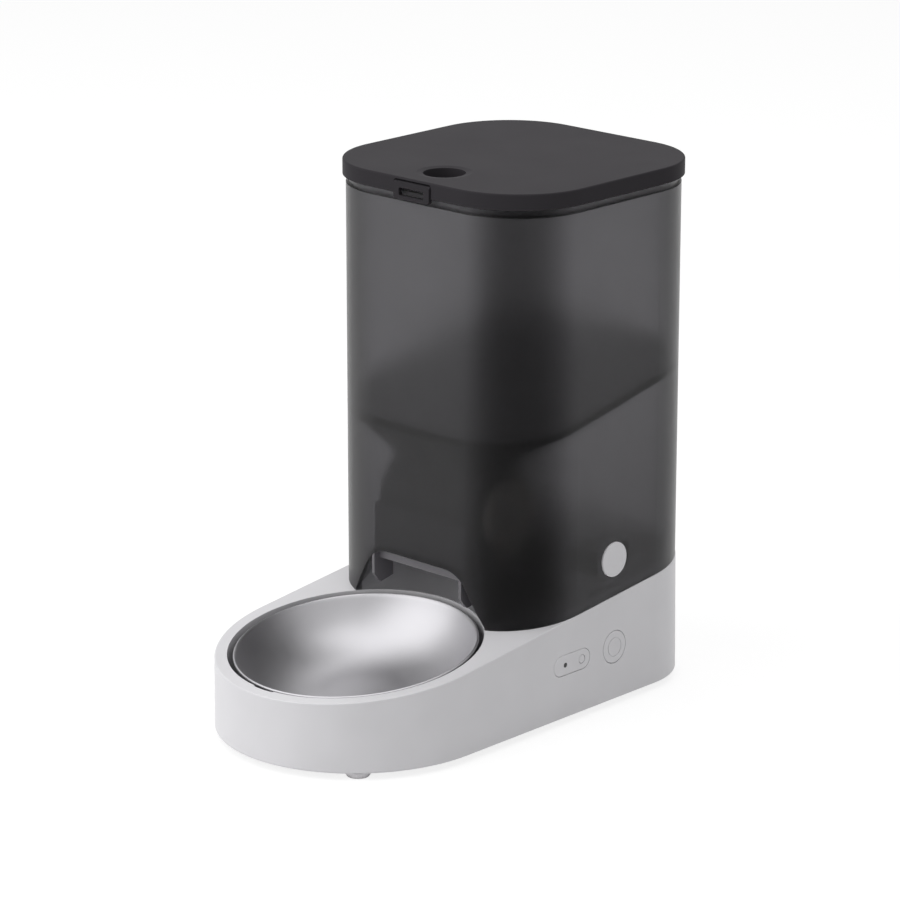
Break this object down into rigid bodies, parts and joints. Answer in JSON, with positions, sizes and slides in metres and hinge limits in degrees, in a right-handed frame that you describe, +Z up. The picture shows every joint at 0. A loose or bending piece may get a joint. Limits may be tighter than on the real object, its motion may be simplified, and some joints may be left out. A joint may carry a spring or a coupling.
{
  "type": "smart pet feeder",
  "caption": "Automatic dry-food pet feeder: smoky rounded hopper with lid, dispensing drum and arched outlet over a steel bowl set in a sloping white base with side buttons.",
  "frame": {"origin": "on the floor under the middle of the feeder's bounding box", "axes": "+Z up, -Y towards the bowl end, +X towards the side with the control panel and feed button"},
  "size_m": [0.17, 0.3, 0.318],
  "materials": {
    "white_plastic": "satin moulded",
    "smoky_plastic": "translucent smoky",
    "lid_plastic": "fine matt",
    "dark_plastic": "matt",
    "grey_plastic": "satin",
    "inner_plastic": "matt",
    "stainless": "brushed",
    "steel": "bright",
    "rubber": "matt",
    "silicone": "soft matt",
    "circuit_board": "solder mask",
    "components": "moulded",
    "acetal": "machined",
    "brass": "sintered",
    "light_lens": "polished",
    "sachet": "non-woven"
  },
  "bodies": {
    "base": {"base_shell": "white_plastic", "base_plate": "white_plastic", "rubber_feet": "rubber", "base_screws": "steel", "battery_tray": "inner_plastic", "battery_contacts": "steel", "main_board": "circuit_board", "board_parts": "components", "power_inlet": "dark_plastic", "control_panel": "grey_plastic", "status_light": "light_lens", "button_board": "circuit_board", "button_switches": "components", "gear_motor": "steel", "motor_cover": "inner_plastic", "cover_screws": "steel", "drive_gear_pin": "steel"},
    "battery_door": {"battery_door": "white_plastic"},
    "setup_button": {"setup_button": "grey_plastic"},
    "feed_button": {"feed_button": "grey_plastic"},
    "motor_pinion": {"motor_pinion": "brass"},
    "drive_gear": {"drive_gear": "acetal"},
    "bowl": {"bowl": "stainless"},
    "hopper": {"hopper_shell": "smoky_plastic", "recess_wall": "smoky_plastic", "hopper_funnel": "smoky_plastic", "drum_housing": "dark_plastic", "drum_cap": "dark_plastic", "rotor_bushes": "brass", "outlet_chute": "dark_plastic", "release_brackets": "dark_plastic", "release_spring_right": "steel", "release_spring_left": "steel"},
    "rotor": {"rotor_hub": "inner_plastic", "rotor_blades": "silicone", "rotor_shaft": "steel", "rotor_gear": "acetal"},
    "release_button_right": {"release_button_right": "grey_plastic"},
    "release_button_left": {"release_button_left": "grey_plastic"},
    "lid": {"lid": "lid_plastic", "lid_seal": "rubber", "latch_pin": "steel"},
    "latch": {"latch": "dark_plastic"},
    "drying_cup": {"drying_cup": "inner_plastic", "drying_sachet": "sachet"}
  },
  "joints": [
    {"name": "hopper_lift", "type": "slide", "parent": "base", "child": "hopper", "axis": [0, 0, 1], "range_m": [0, 0.06]},
    {"name": "lid_lift", "type": "slide", "parent": "hopper", "child": "lid", "axis": [0, 0, 1], "range_m": [0, 0.035]},
    {"name": "latch_swing", "type": "hinge", "parent": "lid", "child": "latch", "pos_m": [0, -0.019, 0.314], "axis": [-1, 0, 0], "range_deg": [0, 95]},
    {"name": "drying_cup_twist", "type": "hinge", "parent": "lid", "child": "drying_cup", "pos_m": [0, 0.088, 0.3], "axis": [0, 0, 1], "range_deg": [0, 30]},
    {"name": "rotor_spin", "type": "hinge", "parent": "hopper", "child": "rotor", "pos_m": [0, 0.0175, 0.12], "axis": [1, 0, 0], "continuous": true},
    {"name": "drive_gear_spin", "type": "hinge", "parent": "base", "child": "drive_gear", "pos_m": [0.0418, 0.0175, 0.0875], "axis": [1, 0, 0], "continuous": true},
    {"name": "motor_pinion_spin", "type": "hinge", "parent": "base", "child": "motor_pinion", "pos_m": [0.0418, 0.0375, 0.0875], "axis": [1, 0, 0], "continuous": true},
    {"name": "release_button_right_press", "type": "slide", "parent": "hopper", "child": "release_button_right", "axis": [-1, 0, 0], "range_m": [0, 0.003], "stiffness_N_per_m": 400, "springref_m": -0.002, "deforming": ["release_spring_right"]},
    {"name": "release_button_left_press", "type": "slide", "parent": "hopper", "child": "release_button_left", "axis": [1, 0, 0], "range_m": [0, 0.003], "stiffness_N_per_m": 400, "springref_m": -0.002, "deforming": ["release_spring_left"]},
    {"name": "feed_button_press", "type": "slide", "parent": "base", "child": "feed_button", "axis": [-1, 0, 0], "range_m": [0, 0.001], "stiffness_N_per_m": 400, "springref_m": -0.001},
    {"name": "setup_button_press", "type": "slide", "parent": "base", "child": "setup_button", "axis": [-1, 0, 0], "range_m": [0, 0.0005], "stiffness_N_per_m": 200, "springref_m": -0.001},
    {"name": "battery_door_swing", "type": "hinge", "parent": "base", "child": "battery_door", "pos_m": [0, 0.0693, 0.0049], "axis": [-1, 0, 0], "range_deg": [0, 90]},
    {"name": "bowl_lift", "type": "slide", "parent": "base", "child": "bowl", "axis": [0, -0.682, 0.7314], "range_m": [0, 0.055]}
  ],
  "couplings": [
    {"joint": "drive_gear_spin", "follows": "rotor_spin", "ratio": -1.6},
    {"joint": "motor_pinion_spin", "follows": "rotor_spin", "ratio": 2.6667}
  ]
}
